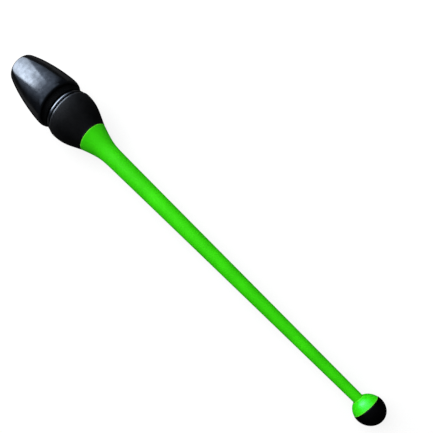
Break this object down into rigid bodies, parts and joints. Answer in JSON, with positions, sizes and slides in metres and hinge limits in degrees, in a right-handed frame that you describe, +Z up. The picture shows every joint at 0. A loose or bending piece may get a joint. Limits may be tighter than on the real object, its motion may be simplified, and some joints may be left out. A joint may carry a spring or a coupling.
{
  "type": "rhythmic gymnastics club",
  "caption": "Gymnastics club lying down: hollow screw-off socket cup, soft bulb, long tapered neck and a two-colour ball at the tip.",
  "frame": {"origin": "middle of the lying club's footprint box, at floor level", "axes": "+X runs along the club towards the open socket end, +Z is up, +Y is to the left when looking along +X"},
  "size_m": [0.4522, 0.0514, 0.0513],
  "materials": {
    "cup_shell": "glossy black moulding",
    "socket_liner": "soft black rubber",
    "socket_pad": "dense grey felt",
    "socket_floor": "satin black moulding",
    "thrust_ring": "satin black moulding",
    "hub_core": "glossy black moulding",
    "nose_gasket": "flat rubber ring",
    "core_bolt": "zinc-plated steel",
    "core_washer": "zinc-plated steel",
    "bulb_sleeve": "fine matte black",
    "neck": "satin fluorescent green",
    "neck_insert": "turned brass",
    "ball_collar": "glossy fluorescent green",
    "ball_cap": "smooth black rubber",
    "ball_insert": "turned brass",
    "ball_stud": "plain steel"
  },
  "bodies": {
    "club_body": {"hub_core": "hub_core", "nose_gasket": "nose_gasket", "core_bolt": "core_bolt", "core_washer": "core_washer", "bulb_sleeve": "bulb_sleeve", "neck": "neck", "neck_insert": "neck_insert", "ball_collar": "ball_collar", "ball_cap": "ball_cap", "ball_insert": "ball_insert", "ball_stud": "ball_stud"},
    "ring_body": {"thrust_ring": "thrust_ring"},
    "cup_body": {"cup_shell": "cup_shell", "socket_liner": "socket_liner", "socket_pad": "socket_pad", "socket_floor": "socket_floor"}
  },
  "joints": [
    {"name": "ring_travel", "type": "slide", "parent": "club_body", "child": "ring_body", "axis": [0.9994, 0, 0.0333], "range_m": [0, 0.015]},
    {"name": "cup_twist", "type": "hinge", "parent": "ring_body", "child": "cup_body", "pos_m": [0.22565, 0, 0.02738], "axis": [0.9994, 0, 0.0333], "range_deg": [0, 1080]}
  ],
  "couplings": [
    {"joint": "cup_twist", "follows": "ring_travel", "rad_per_m": 1256.6}
  ]
}
